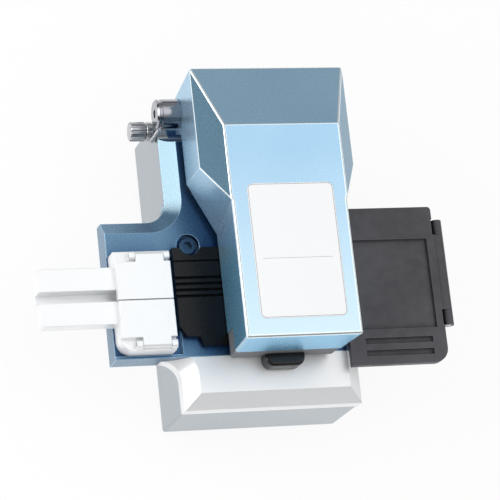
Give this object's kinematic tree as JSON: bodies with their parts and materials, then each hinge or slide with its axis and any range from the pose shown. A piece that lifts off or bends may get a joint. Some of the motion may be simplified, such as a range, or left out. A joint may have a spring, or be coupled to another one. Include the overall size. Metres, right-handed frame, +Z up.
{
  "type": "fibre cleaver",
  "caption": "One-step optical fibre cleaver with a hinged faceted lid, sliding blade carriage, fibre holder and scrap bin.",
  "frame": {"origin": "middle of the base pad's underside", "axes": "+X along the fibre from the holder to the scrap bin, -Y to the front, +Z up"},
  "size_m": [0.1162, 0.0899, 0.0561],
  "materials": {
    "blue_deck": "satin anodised",
    "blue_lid": "satin anodised",
    "silver_body": "bead blasted anodised",
    "pale_body": "bead blasted anodised",
    "black_guide": "black anodised",
    "black_plastic": "moulded",
    "bin_plastic": "moulded",
    "rubber": "moulded",
    "bright_steel": "polished",
    "spring_steel": "drawn",
    "screw_steel": "black oxide",
    "magnet": "nickel plated",
    "carriage": "machined",
    "carbide": "ground",
    "label": "printed film"
  },
  "bodies": {
    "base": {"base_pad": "rubber", "bottom_cover": "silver_body", "cover_screws": "screw_steel", "lower_body": "silver_body", "front_block": "pale_body", "top_deck": "blue_deck", "deck_screws": "screw_steel", "guide_block": "black_guide", "exit_block": "black_guide", "block_screws": "screw_steel", "lower_clamp_pads": "rubber", "strike_post": "magnet", "hinge_block": "blue_deck", "hinge_screws": "screw_steel", "spring_post": "spring_steel", "brake_spring": "spring_steel", "linear_rail": "bright_steel", "guide_rod": "bright_steel", "return_spring": "spring_steel", "bin_bracket": "silver_body"},
    "lid": {"hinge_pin": "bright_steel", "pin_clip": "spring_steel", "lid_shell": "blue_lid", "front_bumper": "black_plastic", "finger_tab": "black_plastic", "lid_inner_plate": "black_guide", "inner_plate_screws": "screw_steel", "upper_clamp_pads": "rubber", "lid_magnet": "magnet", "label_plate": "label", "anvil_housing": "silver_body", "anvil_spring": "spring_steel"},
    "anvil": {"anvil_plunger": "bright_steel"},
    "carriage": {"blade_carriage": "carriage", "blade_axle": "bright_steel", "blade_nut": "bright_steel"},
    "wheel": {"cutting_wheel": "carbide"},
    "holder": {"holder_body": "pale_body", "leaf_pins": "bright_steel"},
    "rear_cover": {"rear_leaf": "pale_body"},
    "front_cover": {"front_leaf": "pale_body"},
    "bin": {"bin_box": "bin_plastic", "bin_rod": "bright_steel"},
    "bin_cover": {"bin_lid": "bin_plastic"}
  },
  "joints": [
    {"name": "lid_hinge", "type": "hinge", "parent": "base", "child": "lid", "pos_m": [0, 0.0407, 0.0325], "axis": [-1, 0, 0], "range_deg": [0, 75]},
    {"name": "anvil_press", "type": "slide", "parent": "lid", "child": "anvil", "axis": [0, 0, 1], "range_m": [0, 0.0008], "stiffness_N_per_m": 300, "springref_m": -0.001, "deforming": ["anvil_spring"]},
    {"name": "carriage_slide", "type": "slide", "parent": "base", "child": "carriage", "axis": [0, -1, 0], "range_m": [0, 0.017], "deforming": ["return_spring"]},
    {"name": "wheel_index", "type": "hinge", "parent": "carriage", "child": "wheel", "pos_m": [0.004, 0.0005, 0.0231], "axis": [1, 0, 0], "continuous": true},
    {"name": "holder_slide", "type": "slide", "parent": "base", "child": "holder", "axis": [-1, 0, 0], "range_m": [0, 0.015]},
    {"name": "rear_cover_hinge", "type": "hinge", "parent": "holder", "child": "rear_cover", "pos_m": [-0.0354, -0.0007, 0.037], "axis": [-1, 0, 0], "range_deg": [0, 110]},
    {"name": "front_cover_hinge", "type": "hinge", "parent": "holder", "child": "front_cover", "pos_m": [-0.0354, -0.0251, 0.037], "axis": [1, 0, 0], "range_deg": [0, 110]},
    {"name": "bin_slide", "type": "slide", "parent": "base", "child": "bin", "axis": [1, 0, 0], "range_m": [0, 0.03]},
    {"name": "bin_lid_hinge", "type": "hinge", "parent": "bin", "child": "bin_cover", "pos_m": [0.0506, -0.0072, 0.0331], "axis": [0, 1, 0], "range_deg": [0, 95]}
  ],
  "couplings": [
    {"joint": "carriage_slide", "follows": "lid_hinge", "m_per_rad": 0.012987}
  ]
}
